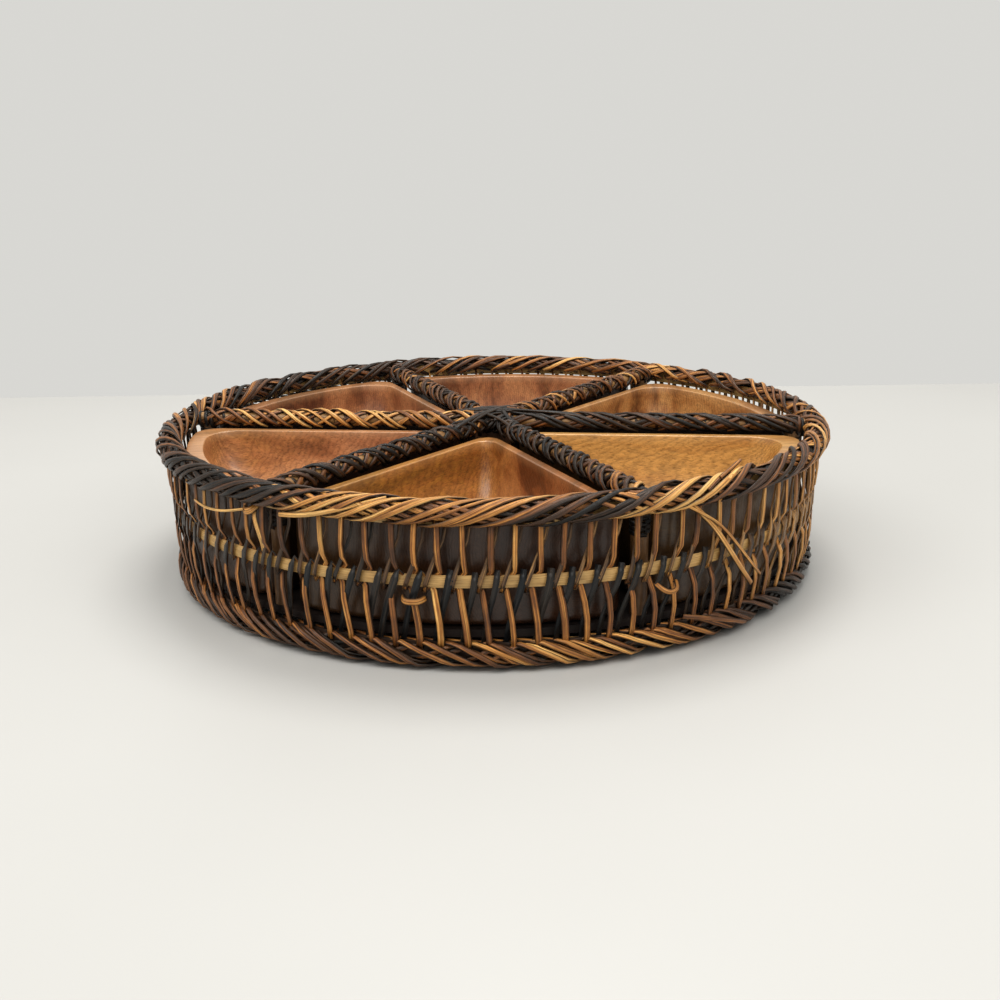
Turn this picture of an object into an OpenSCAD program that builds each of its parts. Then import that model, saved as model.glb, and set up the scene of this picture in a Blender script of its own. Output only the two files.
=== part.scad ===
// Lazy susan turntable: a round cane basket on a ball bearing, divided by six bound rods
// into bays that each hold one lift-out wooden dish.
// Origin: middle of the basket, on the table. +Z up. Millimetres.

/* [Basket] */
// Outer diameter of the top border
overall_d = 400; // [350:5:480]
// Height of the top border above the table
overall_h = 89; // [78:1:110]
// Gap between the bottom border and the table
skirt_gap = 2.5; // [1:0.5:6]
// Width of the woven top border
top_border_w = 15; // [13:0.5:20]
// Height of the woven top border
top_border_h = 15; // [13:0.5:20]
// Width of the woven bottom border
bottom_border_w = 13; // [12:0.5:18]
// How far the bottom border's outside stands in from the top border's outside
wall_lean = 6.5; // [4:0.5:12]
// Strand loops in one bay of the wall, in each tier
loops_per_bay = 17; // [10:1:19]
// Width of a flat wall strand
strand_w = 3.2; // [2:0.1:4]
// Thickness of a flat wall strand
strand_t = 1.6; // [1:0.1:2]
// Height of the flat band that the two tiers of loops hook round
band_h = 7; // [5:0.5:10]
// Thickness of the flat bands inside the wall and the borders
band_t = 1.4; // [1:0.1:2]
// Height of the middle of the flat band above the table
band_z = 46.5; // [40:0.5:52]

/* [Dividers] */
// Diameter of a divider rod
rod_d = 7; // [5:0.5:9]
// Thickness of the cane binding round a divider rod
binding_t = 2.5; // [1.5:0.25:3.5]
// How far the bound dividers lie below the top of the border
divider_drop = 2; // [1:0.5:5]
// Diameter of the upright posts under the outer ends of the rods
post_d = 9; // [7:0.5:10]
// Diameter of the post in the middle
hub_post_d = 22; // [18:1:28]
// Diameter of the knot that ties the rods together in the middle
knot_d = 32; // [30:1:40]
// Thickness of the lashing at the top of a post
lashing_t = 1.7; // [1:0.1:2]
// Height of the lashing at the top of a post
lashing_h = 10; // [6:1:16]

/* [Dishes] */
// Height of a dish
dish_h = 56; // [46:1:62]
// Wall of a dish along its two straight sides
dish_side_wall = 5; // [4:0.5:8]
// Wall of a dish along its curved outer side
dish_outer_wall = 9; // [6:0.5:12]
// Thickness of the floor of a dish
dish_floor = 7; // [5:0.5:10]
// Clearance between a dish and a bound divider
dish_side_gap = 2.3; // [1:0.1:5]
// Clearance between a dish and the top border
dish_rim_gap = 3; // [1.5:0.5:6]
// Radius of a dish's inner corner
dish_tip_r = 10; // [6:0.5:14]
// Radius of a dish's two outer corners
dish_corner_r = 16; // [10:1:22]
// How far the carved hollow curves in from its walls to its floor
hollow_sweep = 24; // [14:1:28]
// Rounding of a dish's lower edge
dish_edge_r = 5; // [2:0.5:8]

/* [Boards and feet] */
// Thickness of the floor board in the basket
floor_board_t = 4; // [3:0.5:6]
// Diameter of the base board on the table
base_board_d = 210; // [200:5:260]
// Thickness of the base board
base_board_t = 6; // [5:0.5:10]
// Diameter of a rubber foot
foot_d = 16; // [10:1:24]
// Thickness of a rubber foot
foot_t = 2; // [1.5:0.5:4]
// Diameter of the hole in the base board that reaches the upper plate's screws
access_hole_d = 14; // [10:1:18]

/* [Ball bearing] */
// Side of the square bearing plates
plate_side = 140; // [130:5:145]
// Thickness of the bearing plates
plate_t = 1.2; // [1:0.1:2]
// Diameter of a bearing ball
ball_d = 5.5; // [4.5:0.5:7]
// Diameter of the circle that the balls run on
race_d = 90; // [80:2:100]
// Number of bearing balls
ball_count = 30; // [18:1:34]
// Width of the raised race on each plate
race_w = 9; // [8.5:0.5:12]
// Gap between the two races
race_gap = 2.2; // [1.5:0.1:3]
// Outer diameter of the collar that holds the two plates together
collar_d = 18; // [14:1:24]
// Wall of the collar and its flanges
collar_t = 1; // [0.8:0.1:1.5]
// How far the collar's flanges reach past its tube
collar_flange = 4; // [3:0.5:6]

/* [Fasteners and fits] */
// Diameter of the wood screws through the bearing plates
screw_d = 3.5; // [3:0.5:4]
// Diameter of a screw head
screw_head_d = 6.5; // [6:0.5:8]
// Height of a screw head
screw_head_h = 1.4; // [1:0.1:1.8]
// Distance of the plate screws from the plate's edge
screw_inset = 12; // [8:0.5:16]
// Diameter of the nails in the cane work
nail_d = 1.6; // [1.2:0.1:2]
// Diameter of a nail head
nail_head_d = 3.2; // [2.4:0.1:4]
// Height of a nail head
nail_head_h = 0.6; // [0.4:0.1:1]
// Length of a nail
nail_l = 16; // [12:1:22]
// Play between each ball and its groove
ball_play = 0.2; // [0.1:0.05:0.3]
// Gap between moving parts of the bearing
running_gap = 0.3; // [0.3:0.05:0.6]
// Gap left round strands, bands and anything that sits in a hole
fit_gap = 0.2; // [0.1:0.05:0.3]

/* [Hidden] */
BAYS = 6;
$fn = 96;

pitch = 360 / BAYS;              // angle from one divider to the next
half_pitch = pitch / 2;
overlap = 1;                     // how far a cut runs past the face it opens

// Stack of the base, from the table up
base_z = foot_t;
plate_z = base_z + base_board_t;
ball_z = plate_z + plate_t + ball_d / 2 + ball_play / 4;
floor_z = 2 * ball_z - plate_z;  // underside of the floor board, on top of the bearing
bay_z = floor_z + floor_board_t; // top of the floor board, where the dishes stand
access_r = (plate_side / 2 - screw_inset) * sqrt(2);

// Screws: a plate screw stops short of the board's far side
screw_skin = 1.1;                // wood left beyond a screw's tip
base_screw_l = plate_t + base_board_t - screw_skin;
floor_screw_l = plate_t + floor_board_t - screw_skin;
collar_recess = collar_t + fit_gap;
hub_screw_grip = 18;             // length of the hub screw in the middle post

// Borders
top_r = overall_d / 2;
top_border_z = overall_h - top_border_h;
bottom_r = top_r - wall_lean;
bottom_border_h = floor_z - skirt_gap;
border_round = 4;
hoop_h = 8;                      // height of the flat hoop inside each border
top_cover = 5;                   // cane between a border's outside and the strands in it
bottom_cover = 2.5;
band_bow = 0.6;                  // how far the wall bows out at the band

// Strand loops: two legs, one each side of the bands
leg_gap = band_t + 2 * fit_gap;
loop_t = leg_gap + 2 * strand_t;
slot_w = loop_t + 2 * fit_gap;
slot_depth = hoop_h + 2;
top_slot_r = top_r - top_cover - slot_w / 2;
bottom_slot_r = bottom_r - bottom_cover - slot_w / 2;
band_r = (top_slot_r + bottom_slot_r) / 2 + band_bow;
loops = BAYS * loops_per_bay;

// Dividers and posts
binding_r = rod_d / 2 + binding_t;
rod_z = overall_h - divider_drop - binding_r;
board_gap = 0.5;                 // between the floor board's edge and the strands, and the posts
floor_r = bottom_slot_r - slot_w / 2 - board_gap;
post_r = floor_r - post_d / 2 - board_gap;
post_top = rod_z - rod_d / 2;
rod_start = rod_d + 0.5;         // six rods meet without touching
rod_end = top_slot_r - slot_w / 2 - fit_gap;
binding_end = post_r - post_d / 2 - lashing_t;
rod_nail_z = rod_z + rod_d / 2 + nail_head_h / 2;

// Dishes
dish_d = binding_r + dish_side_gap;      // distance of a dish's side from the rod's centre line
dish_z = bay_z + 0.02;                   // underside of a dish, a hair clear of the floor board
dish_r = top_r - top_border_w - dish_rim_gap;
rim_round = 1;                           // rounding of a dish's rim

// ---- helpers ----

function arc(cx, cy, r, from, to, steps) =
    [for (i = [0:steps]) let (a = from + (to - from) * i / steps) [cx + r * cos(a), cy + r * sin(a)]];

// Outline of one bay's wedge about +X: straight sides at distance side from the two dividers,
// outer arc of radius outer, rounded tip and corners.
function wedge(side, outer, tip, corner) =
    let (turn = half_pitch - asin((side + corner) / (outer - corner)),
         reach = outer - corner,
         tip_x = (side + tip) / sin(half_pitch),
         lean = half_pitch + 90)
    concat(arc(tip_x, 0, tip, lean, 360 - lean, 6),
           arc(reach * cos(turn), -reach * sin(turn), corner, -lean, -turn, 5),
           [for (i = [1:7]) let (a = -turn + 2 * turn * i / 8) [outer * cos(a), outer * sin(a)]],
           arc(reach * cos(turn), reach * sin(turn), corner, turn, lean, 5));

// Solid through a stack of rings, each [outline, height], with equal numbers of points
module loft(rings) {
    n = len(rings[0][0]);
    last = len(rings) - 1;
    points = [for (ring = rings) for (p = ring[0]) [p[0], p[1], ring[1]]];
    sides = [for (k = [0:last - 1]) for (i = [0:n - 1]) for (half = [0, 1])
        let (j = (i + 1) % n, a = k * n + i, b = k * n + j, c = (k + 1) * n + j, d = (k + 1) * n + i)
        half == 0 ? [a, c, b] : [a, d, c]];
    polyhedron(points, concat(sides, [[for (i = [0:n - 1]) i]],
                              [[for (i = [0:n - 1]) last * n + n - 1 - i]]));
}

module rounded_rect(w, h, r) {
    translate([r, 0]) square([w - 2 * r, h]);
    translate([0, r]) square([w, h - 2 * r]);
    for (x = [r, w - r], y = [r, h - r]) translate([x, y]) circle(r, $fn = 48);
}

// Flat hoop of height h standing on z, centred on radius r
module hoop(r, z, h) {
    translate([0, 0, z]) difference() {
        cylinder(r = r + band_t / 2, h = h, $fn = 180);
        translate([0, 0, -overlap]) cylinder(r = r - band_t / 2, h = h + 2 * overlap, $fn = 180);
    }
}

// Copies round the basket, on the dividers
module on_dividers() {
    for (i = [0:BAYS - 1]) rotate([0, 0, i * pitch]) children();
}

// A rod along +X from one radius to another at the dividers' height
module radial(r, from, to) {
    translate([from, 0, rod_z]) rotate([0, 90, 0]) cylinder(r = r, h = to - from, $fn = 64);
}

// Upright nail, head up or down, with its head's outer face at z
module nail(z, up, grow = 0) {
    translate([0, 0, z]) mirror([0, 0, up ? 1 : 0]) {
        cylinder(d = nail_head_d + grow, h = nail_head_h, $fn = 32);
        cylinder(d = nail_d + grow, h = nail_l, $fn = 32);
    }
}

// Positions of the four screws through a square plate
module at_plate_screws() {
    s = plate_side / 2 - screw_inset;
    for (x = [-s, s], y = [-s, s]) translate([x, y, 0]) children();
}

// ---- base ----

module base_feet() {
    color("dimgray") for (a = [45:90:315]) rotate([0, 0, a])
        translate([base_board_d / 2 - foot_d, 0, 0]) cylinder(d = foot_d, h = foot_t, $fn = 48);
}

module base_board() {
    hole_r = collar_d / 2 + collar_flange + 2;
    color("burlywood") difference() {
        translate([0, 0, base_z]) cylinder(d = base_board_d, h = base_board_t, $fn = 180);
        translate([0, 0, base_z - overlap]) cylinder(r = hole_r, h = base_board_t + 2 * overlap);
        translate([access_r, 0, base_z - overlap])
            cylinder(d = access_hole_d, h = base_board_t + 2 * overlap, $fn = 48);
        at_plate_screws() translate([0, 0, base_z + screw_skin - fit_gap])
            cylinder(d = screw_d + fit_gap / 2, h = base_board_t, $fn = 32);
    }
}

// Square plate with a raised race; the plate lies on z = 0 and the race's groove faces up
module bearing_plate(hole_r) {
    race_h = ball_z - plate_z - race_gap / 2;
    difference() {
        union() {
            translate([-plate_side / 2, -plate_side / 2, 0]) cube([plate_side, plate_side, plate_t]);
            cylinder(d = race_d + race_w, h = race_h, $fn = 128);
        }
        translate([0, 0, plate_t]) cylinder(d = race_d - race_w, h = race_h, $fn = 128);
        translate([0, 0, -overlap]) cylinder(r = hole_r, h = plate_t + 2 * overlap);
        rotate_extrude($fn = 128) translate([race_d / 2, ball_z - plate_z])
            circle(d = ball_d + 2 * ball_play, $fn = 48);
        at_plate_screws() translate([0, 0, -overlap])
            cylinder(d = screw_d + 2 * fit_gap, h = plate_t + 2 * overlap, $fn = 32);
    }
}

module bearing_lower_plate() {
    color("silver") translate([0, 0, plate_z]) bearing_plate(collar_d / 2 + running_gap);
}

module lower_plate_screws() {
    color("silver") at_plate_screws() {
        translate([0, 0, plate_z + plate_t]) cylinder(d = screw_head_d, h = screw_head_h, $fn = 32);
        translate([0, 0, base_z + screw_skin]) cylinder(d = screw_d, h = base_screw_l, $fn = 32);
    }
}

// ---- bearing balls ----

module bearing_balls() {
    color("gainsboro") for (i = [0:ball_count - 1]) rotate([0, 0, i * 360 / ball_count])
        translate([race_d / 2, 0, ball_z]) sphere(d = ball_d, $fn = 32);
}

// ---- turntable floor ----

module bearing_upper_plate() {
    color("silver") translate([0, 0, floor_z]) mirror([0, 0, 1]) bearing_plate(collar_d / 2 + 0.05);
}

module bearing_collar() {
    r = collar_d / 2;
    foot = plate_z - running_gap - collar_t;
    color("silver") rotate_extrude() {
        translate([r - collar_t, foot]) square([collar_t, floor_z + collar_t - foot]);
        translate([r - collar_t, foot]) square([collar_t + collar_flange, collar_t]);
        translate([r - collar_t, floor_z]) square([collar_t + collar_flange, collar_t]);
    }
}

module upper_plate_screws() {
    under = floor_z - plate_t;
    color("silver") at_plate_screws() {
        translate([0, 0, under - screw_head_h]) cylinder(d = screw_head_d, h = screw_head_h, $fn = 32);
        translate([0, 0, under]) cylinder(d = screw_d, h = floor_screw_l, $fn = 32);
    }
}

module hub_screw_shank(grow = 0) {
    translate([0, 0, floor_z + collar_recess])
        cylinder(d = screw_d + grow, h = floor_board_t - collar_recess + hub_screw_grip, $fn = 32);
}

module floor_board() {
    color("sienna") difference() {
        translate([0, 0, floor_z]) cylinder(r = floor_r, h = floor_board_t, $fn = 180);
        translate([0, 0, floor_z - overlap])
            cylinder(r = collar_d / 2 + collar_flange + fit_gap, h = collar_recess + overlap);
        hub_screw_shank(fit_gap);
        at_plate_screws() translate([0, 0, floor_z - overlap])
            cylinder(d = screw_d + fit_gap / 2, h = floor_board_t - screw_skin + fit_gap + overlap, $fn = 32);
        on_dividers() translate([post_r, 0, 0]) nail(floor_z, false, fit_gap);
        at_floor_nails() nail(bay_z, true, fit_gap);
    }
}

module hub_screw() {
    color("silver") {
        hub_screw_shank();
        translate([0, 0, floor_z + collar_recess - screw_head_h])
            cylinder(d = screw_head_d, h = screw_head_h, $fn = 32);
    }
}

// Nails that hold the floor board down on the bottom border, two by each divider
module at_floor_nails() {
    nail_r = (bottom_r - bottom_border_w + floor_r) / 2;
    for (i = [0:BAYS - 1], side = [-1, 1]) rotate([0, 0, i * pitch + side * half_pitch / 3])
        translate([nail_r, 0, 0]) children();
}

module floor_nails() {
    color("dimgray") at_floor_nails() nail(bay_z, true);
}

// ---- woven wall ----

// Woven ring: a rounded section with a slot for the strands, open up or down
module border(outer_r, z, w, h, slot_r, slot_open_up) {
    rotate_extrude($fn = 180) difference() {
        translate([outer_r - w, z]) rounded_rect(w, h, border_round);
        translate([slot_r - slot_w / 2, slot_open_up ? z + h - slot_depth : z - overlap])
            square([slot_w, slot_depth + overlap]);
    }
}

module top_border() {
    color("peru") difference() {
        border(top_r, top_border_z, top_border_w, top_border_h, top_slot_r, false);
        on_dividers() radial(rod_d / 2 + fit_gap / 2, rod_end - top_border_w, top_slot_r);
    }
}

module bottom_border() {
    color("saddlebrown") difference() {
        border(bottom_r, skirt_gap, bottom_border_w, bottom_border_h, bottom_slot_r, true);
        at_floor_nails() nail(bay_z, true, fit_gap);
    }
}

module rim_hoop() {
    color("tan") hoop(top_slot_r, top_border_z + 1, hoop_h);
}

module bottom_hoop() {
    color("tan") hoop(bottom_slot_r, floor_z - 1 - hoop_h, hoop_h);
}

module middle_band() {
    color("wheat") hoop(band_r, band_z - band_h / 2, band_h);
}

// Side view of a loop of flat strand: it hooks round the band and runs straight past it, leans
// over to the radius of the slot in the border, and runs straight into the slot.
// Built hook down and legs up, with the band's lower edge at z = 0.
module loop_profile(end_r, mouth, end) {
    hook = -fit_gap;
    past = band_h + 1;
    inner = leg_gap / 2;
    outer = inner + strand_t;
    function leg(x) = [[band_r + x, past], [end_r + x, mouth], [end_r + x, end]];
    function back(points) = [for (i = [len(points) - 1:-1:0]) points[i]];
    polygon(concat(arc(band_r, hook, outer, 180, 360, 6), leg(outer), back(leg(inner)),
                   arc(band_r, hook, inner, 360, 180, 4), leg(-inner), back(leg(-outer))));
}

module loops_round(shift) {
    for (i = [0:loops - 1]) rotate([0, 0, (i + shift) * 360 / loops])
        rotate([90, 0, 0]) linear_extrude(strand_w, center = true) children();
}

module upper_loops() {
    low = band_z - band_h / 2;
    color("sienna") translate([0, 0, low]) loops_round(0.25)
        loop_profile(top_slot_r, top_border_z - low, top_border_z + hoop_h + 1 - low);
}

module lower_loops() {
    high = band_z + band_h / 2;
    color("saddlebrown") translate([0, 0, high]) mirror([0, 0, 1]) loops_round(0.75)
        loop_profile(bottom_slot_r, high - floor_z, high - (floor_z - hoop_h - 1));
}

// ---- posts and dividers ----

module centre_post() {
    color("sienna") difference() {
        translate([0, 0, bay_z]) cylinder(d = hub_post_d, h = post_top - bay_z);
        hub_screw_shank(fit_gap);
    }
}

module centre_knot() {
    r = knot_d / 2;
    drop = 4;                    // how much lower the knot's edge is than its crown
    round_r = (r * r + drop * drop) / (2 * drop);
    color("dimgray") difference() {
        rotate_extrude($fn = 128) intersection() {
            translate([0, post_top]) square([r, overall_h - post_top]);
            translate([0, overall_h - round_r]) circle(round_r, $fn = 180);
        }
        on_dividers() radial(rod_d / 2 + fit_gap / 2, rod_start - fit_gap, knot_d);
    }
}

module wall_post() {
    color("saddlebrown") difference() {
        translate([post_r, 0, bay_z]) cylinder(d = post_d, h = post_top - bay_z, $fn = 48);
        translate([post_r, 0, 0]) nail(floor_z, false, fit_gap);
        translate([post_r, 0, 0]) nail(rod_nail_z, true, fit_gap);
    }
}

module post_lashings() {
    top = rod_z - binding_r;
    color("dimgray") on_dividers() translate([post_r, 0, top - lashing_h]) difference() {
        cylinder(d = post_d + 2 * lashing_t, h = lashing_h, $fn = 48);
        translate([0, 0, -overlap]) cylinder(d = post_d, h = lashing_h + 2 * overlap, $fn = 48);
    }
}

module divider_rod() {
    color("peru") difference() {
        radial(rod_d / 2, rod_start, rod_end);
        translate([post_r, 0, 0]) nail(rod_nail_z, true, fit_gap);
    }
}

module divider_binding() {
    color("gray") difference() {
        radial(binding_r, knot_d / 2 + fit_gap, binding_end);
        radial(rod_d / 2, 0, top_r);
    }
}

module post_nails() {
    color("dimgray") on_dividers() translate([post_r, 0, 0]) nail(floor_z, false);
}

module rod_nails() {
    color("dimgray") on_dividers() translate([post_r, 0, 0]) nail(rod_nail_z, true);
}

// ---- dishes ----

// Carved wedge dish: rounded lower edge, flat rim, hollow that curves down to its floor
module dish() {
    function body_ring(inset, z) = [wedge(dish_d + inset, dish_r - inset, dish_tip_r - inset / 2,
                                          dish_corner_r - inset / 2), dish_z + z];
    function hollow_ring(a, z) = let (in = hollow_sweep * (1 - cos(a)))
        [wedge(dish_d + dish_side_wall + in, dish_r - dish_outer_wall - in, dish_tip_r - 2,
               dish_corner_r - 4), z];
    depth = dish_h - dish_floor;
    edge = [for (a = [0:30:90]) [dish_edge_r * (1 - sin(a)), dish_edge_r * (1 - cos(a))]];
    color("chocolate") rotate([0, 0, half_pitch]) difference() {
        loft(concat([for (p = edge) body_ring(p[0], p[1])],
                    [body_ring(0, dish_h - rim_round), body_ring(rim_round, dish_h)]));
        loft(concat([for (a = [90:-15:15]) hollow_ring(a, dish_z + dish_floor + depth * (1 - sin(a)))],
                    [hollow_ring(0, dish_z + dish_h + overlap)]));
    }
}

// ---- choose what to draw ----

base_feet();
base_board();
bearing_lower_plate();
lower_plate_screws();
bearing_balls();
bearing_upper_plate();
bearing_collar();
upper_plate_screws();
floor_board();
hub_screw();
bottom_border();
bottom_hoop();
floor_nails();
lower_loops();
middle_band();
upper_loops();
rim_hoop();
top_border();
centre_post();
centre_knot();
post_lashings();
post_nails();
rod_nails();
for (i = [1:BAYS]) {
    turn = [0, 0, (i - 1) * pitch];
    rotate(turn) wall_post();
    rotate(turn) divider_rod();
    rotate(turn) divider_binding();
    rotate(turn) dish();
}
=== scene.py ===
"""Lazy susan turntable: a woven cane basket with six bound dividers and six carved wooden dishes.

Everything is in metres, in the CAD frame: +Z up, origin on the table under the middle.
"""
from math import asin, cos, degrees, pi, radians, sin

import bmesh
import bpy
import numpy as np
from mathutils import Matrix, Vector


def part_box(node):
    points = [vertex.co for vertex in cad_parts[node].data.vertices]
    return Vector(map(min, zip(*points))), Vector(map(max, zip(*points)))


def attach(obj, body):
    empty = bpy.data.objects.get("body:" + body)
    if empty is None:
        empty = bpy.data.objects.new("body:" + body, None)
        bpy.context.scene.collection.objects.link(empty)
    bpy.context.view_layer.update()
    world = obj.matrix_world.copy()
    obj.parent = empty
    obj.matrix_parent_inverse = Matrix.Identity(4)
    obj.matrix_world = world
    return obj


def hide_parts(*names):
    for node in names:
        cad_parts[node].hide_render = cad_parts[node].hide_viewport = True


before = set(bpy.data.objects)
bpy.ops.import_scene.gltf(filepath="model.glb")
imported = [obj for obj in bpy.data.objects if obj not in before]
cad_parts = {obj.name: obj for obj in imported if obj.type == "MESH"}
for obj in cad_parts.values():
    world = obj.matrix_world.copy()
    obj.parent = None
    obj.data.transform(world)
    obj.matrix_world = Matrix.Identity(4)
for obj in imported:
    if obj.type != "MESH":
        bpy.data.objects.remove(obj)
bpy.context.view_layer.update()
MM = 0.001
chance = np.random.default_rng(61)

# -------------------- sizes, read from the frame

BAYS = 6
LOOPS = 102                                   # loops of cane round one tier of the wall
TURN = 2 * pi
LOOP_TURN = TURN / LOOPS
FIRST_LOOP = 0.25                             # where the first loop stands, in loop pitches

top_low, top_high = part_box("top_border")
foot_low, foot_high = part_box("bottom_border")
band_low, band_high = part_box("middle_band")
knot_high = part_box("centre_knot")[1]
post_low, post_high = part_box("wall_post_1")
rod_low, rod_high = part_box("divider_rod_1")
bound_low, bound_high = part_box("divider_binding_1")
dish_low, dish_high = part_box("dish_1")
lash_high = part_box("post_lashings")[1]

TOP_TUBE = (top_high.z - top_low.z) / 2       # radius of the top border's roll
TOP_R = top_high.x - TOP_TUBE                 # radius of the circle its middle runs on
TOP_Z = (top_low.z + top_high.z) / 2
FOOT_TUBE = (foot_high.z - foot_low.z) / 2
FOOT_R = foot_high.x - FOOT_TUBE
FOOT_Z = (foot_low.z + foot_high.z) / 2
BAND_R = band_high.x
BAND_Z = (band_low.z + band_high.z) / 2
ROD_Z = (rod_low.z + rod_high.z) / 2
BOUND_TUBE = (bound_high.z - bound_low.z) / 2
POST_R = (post_low.x + post_high.x) / 2
POST_TUBE = (post_high.y - post_low.y) / 2

CANE_W = 3.1 * MM                             # width of a split cane strand
CANE_T = 1.3 * MM                             # its thickness

# -------------------- strands

# Section of split cane, across and through: domed bark above, flat pith below.
SECTION = ((0.5, -0.45), (0.36, 0.25), (0.0, 0.5), (-0.36, 0.25), (-0.5, -0.45))


def strand_stock(count, rings):
    """Straight stock: `count` bars of the cane's section, each with `rings` rings of corners."""
    bm = bmesh.new()
    ring_of = bm.verts.layers.int.new("ring")
    corner_of = bm.verts.layers.int.new("corner")
    start = bmesh.ops.create_circle(bm, cap_ends=True, segments=len(SECTION), radius=0.5)
    for k, vert in enumerate(start["verts"]):
        vert[corner_of] = k
    end = bm.faces[:][0]
    for ring in range(1, rings):
        made = bmesh.ops.extrude_face_region(bm, geom=[end])["geom"]
        if ring > 1:                           # the first face stays, as the near end of the bar
            bmesh.ops.delete(bm, geom=[end], context="FACES_ONLY")
        end = next(g for g in made if isinstance(g, bmesh.types.BMFace))
        for vert in end.verts:
            vert.co.z += 1
            vert[ring_of] = ring
    bmesh.ops.recalc_face_normals(bm, faces=bm.faces[:])
    bar = bm.verts[:] + bm.edges[:] + bm.faces[:]
    for _ in range(count - 1):
        bmesh.ops.duplicate(bm, geom=bar)
    mesh = bpy.data.meshes.new("strands")
    bm.to_mesh(mesh)
    bm.free()
    return mesh


def numbers(collection, key, count):
    """One whole number for each thing in a mesh collection."""
    out = np.empty(count, np.int32)
    collection.foreach_get(key, out)
    return out


def unit(v):
    return v / np.maximum(np.linalg.norm(v, axis=-1, keepdims=True), 1e-12)


class Bundle:
    """Strands that go into one piece. Each is a path of `rings` points with the way its bark faces."""

    def __init__(self, rings=12):
        self.rings = rings
        self.path, self.face, self.width, self.thick = [], [], [], []
        self.tone, self.grey = [], []

    def add(self, path, face, width=CANE_W, thick=CANE_T, tone=0.5, grey=0.5):
        """path and face are (strands, rings, 3); the rest are numbers or one per strand."""
        n = len(path)
        self.path.append(path)
        self.face.append(face)
        for store, value in ((self.width, width), (self.thick, thick), (self.tone, tone),
                             (self.grey, grey)):
            value = np.asarray(value, float)
            if value.ndim < 2:
                value = np.broadcast_to(value.reshape(-1, 1), (n, self.rings))
            store.append(value)

    def piece(self, name, body, material, replaced=()):
        path, face = np.concatenate(self.path), unit(np.concatenate(self.face))
        width, thick = np.concatenate(self.width), np.concatenate(self.thick)
        mesh = strand_stock(len(path), self.rings)
        mesh.name = name
        count = len(mesh.vertices)
        ring = numbers(mesh.attributes["ring"].data, "value", count)
        corner = numbers(mesh.attributes["corner"].data, "value", count)
        strand = np.arange(count) // (self.rings * len(SECTION))
        along = unit(np.gradient(path, axis=1))
        side = unit(np.cross(face, along))
        up = np.cross(along, side)
        across, through = np.array(SECTION)[corner].T
        place = path[strand, ring] + side[strand, ring] * (across * width[strand, ring])[:, None]
        place = place + up[strand, ring] * (through * thick[strand, ring])[:, None]
        mesh.vertices.foreach_set("co", place.astype(np.float32).ravel())
        step = np.linalg.norm(np.diff(path, axis=1), axis=-1)
        run = np.concatenate([np.zeros((len(path), 1)), np.cumsum(step, axis=1)], axis=1)
        offset = chance.uniform(0, 5, len(path))
        spot = numbers(mesh.loops, "vertex_index", len(mesh.loops))
        uv = np.stack([run[strand, ring] + offset[strand], across * width[strand, ring]], axis=1)[spot]
        mesh.uv_layers.new(name="grain").data.foreach_set("uv", uv.astype(np.float32).ravel())
        for key, value in (("tone", np.concatenate(self.tone)[strand, ring]),
                           ("grey", np.concatenate(self.grey)[strand, ring]),
                           ("bark", through > -0.4), ("edge", np.abs(across) * 2)):
            paint(mesh, key, value)
        for key in ("ring", "corner"):
            mesh.attributes.remove(mesh.attributes[key])
        sides = numbers(mesh.polygons, "loop_total", len(mesh.polygons))
        mesh.polygons.foreach_set("use_smooth", sides == 4)
        mesh.update()
        finished(mesh, body, material, replaced)


def paint(mesh, key, value):
    """Stores one number for each corner of the mesh under a name that a material can read."""
    mesh.attributes.new(key, "FLOAT", "POINT").data.foreach_set("value", value.astype(np.float32))


def finished(mesh, body, material, replaced):
    """Puts a mesh in the scene under its own name, on its body, in place of the nodes it replaces."""
    obj = bpy.data.objects.new(mesh.name, mesh)
    bpy.context.scene.collection.objects.link(obj)
    mesh.materials.append(material)
    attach(obj, body)
    if replaced:
        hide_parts(*replaced)


# A core is a function of distance along it (metres) that gives the middle, the way out and the way up.

def ring_core(radius, height):
    def at(u):
        a = u / radius
        out = np.stack([np.cos(a), np.sin(a), np.zeros_like(a)], -1)
        return out * radius + [0, 0, height], out, np.broadcast_to([0.0, 0, 1], out.shape)
    return at


def rod_core(angle, height):
    along, out = np.array([cos(angle), sin(angle), 0]), np.array([-sin(angle), cos(angle), 0])

    def at(u):
        middle = u[..., None] * along + [0, 0, height]
        return middle, np.broadcast_to(out, middle.shape), np.broadcast_to([0.0, 0, 1], middle.shape)
    return at


def post_core(angle, radius):
    out = np.array([cos(angle), sin(angle), 0])
    across = np.array([-sin(angle), cos(angle), 0])

    def at(u):
        middle = out * radius + u[..., None] * [0, 0, 1]
        return middle, np.broadcast_to(out, middle.shape), np.broadcast_to(across, middle.shape)
    return at


def square_round(turn):
    """How far out a rounded square lies at each turn, and the way it faces there: (out, up)."""
    c, n = np.cos(turn), np.sin(turn)
    reach = (c ** 4 + n ** 4) ** -0.25
    facing = np.stack([np.sign(c) * np.abs(c) ** 2, np.sign(n) * np.abs(n) ** 2], -1)
    return reach, facing


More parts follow.
